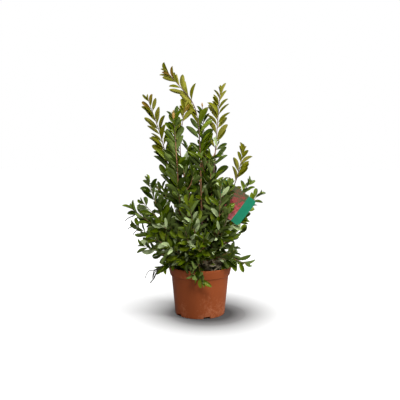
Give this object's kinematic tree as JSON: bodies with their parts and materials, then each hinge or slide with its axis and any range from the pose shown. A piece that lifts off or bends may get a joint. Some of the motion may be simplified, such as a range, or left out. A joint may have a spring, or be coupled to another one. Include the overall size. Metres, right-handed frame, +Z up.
{
  "type": "potted bottlebrush shrub",
  "caption": "Young evergreen bottlebrush shrub with upright leafy shoots, in a round tapered terracotta-coloured plastic pot, with a plant label hung from one stem.",
  "frame": {"origin": "middle of the pot's flat underside, on the surface it stands on", "axes": "+Z up along the pot, -Y towards the front as pictured, +X to the right"},
  "size_m": [0.3863, 0.3343, 0.6703],
  "materials": {
    "terracotta_plastic": "smooth, lightly scuffed, moulded in terracotta colour",
    "potting_soil": "damp crumbly compost",
    "bark": "thin reddish-brown bark",
    "leaf": "leathery green leaves, satin",
    "young_leaf": "soft lime-green young leaves, satin",
    "label_card": "printed plastic card, satin"
  },
  "bodies": {
    "root": {"bough_back": "bark", "bough_back_east": "bark", "bough_back_west": "bark", "bough_crown": "bark", "bough_east": "bark", "bough_far_east": "bark", "bough_front": "bark", "bough_inner": "bark", "bough_middle": "bark", "bough_west": "bark", "foliage_back": "leaf", "foliage_back_east": "leaf", "foliage_back_low_east": "leaf", "foliage_back_low_west": "leaf", "foliage_back_west": "leaf", "foliage_back_wide": "leaf", "foliage_crown": "young_leaf", "foliage_east": "young_leaf", "foliage_east_back": "leaf", "foliage_east_front": "leaf", "foliage_east_label": "leaf", "foliage_east_low": "leaf", "foliage_east_rear": "leaf", "foliage_east_wide": "leaf", "foliage_far_east": "young_leaf", "foliage_front": "leaf", "foliage_front_corner": "leaf", "foliage_front_east": "leaf", "foliage_front_hanging": "leaf", "foliage_front_label": "leaf", "foliage_front_low": "leaf", "foliage_front_middle": "leaf", "foliage_front_near": "leaf", "foliage_front_west": "leaf", "foliage_front_wide": "leaf", "foliage_inner": "young_leaf", "foliage_middle": "leaf", "foliage_west": "young_leaf", "foliage_west_back": "leaf", "foliage_west_hanging": "leaf", "foliage_west_high": "leaf", "foliage_west_low": "leaf", "foliage_west_rear": "leaf", "foliage_west_upper": "leaf", "foliage_west_wide": "leaf", "label": "label_card", "pot": "terracotta_plastic", "soil": "potting_soil", "trunk": "bark"}
  },
  "joints": []
}
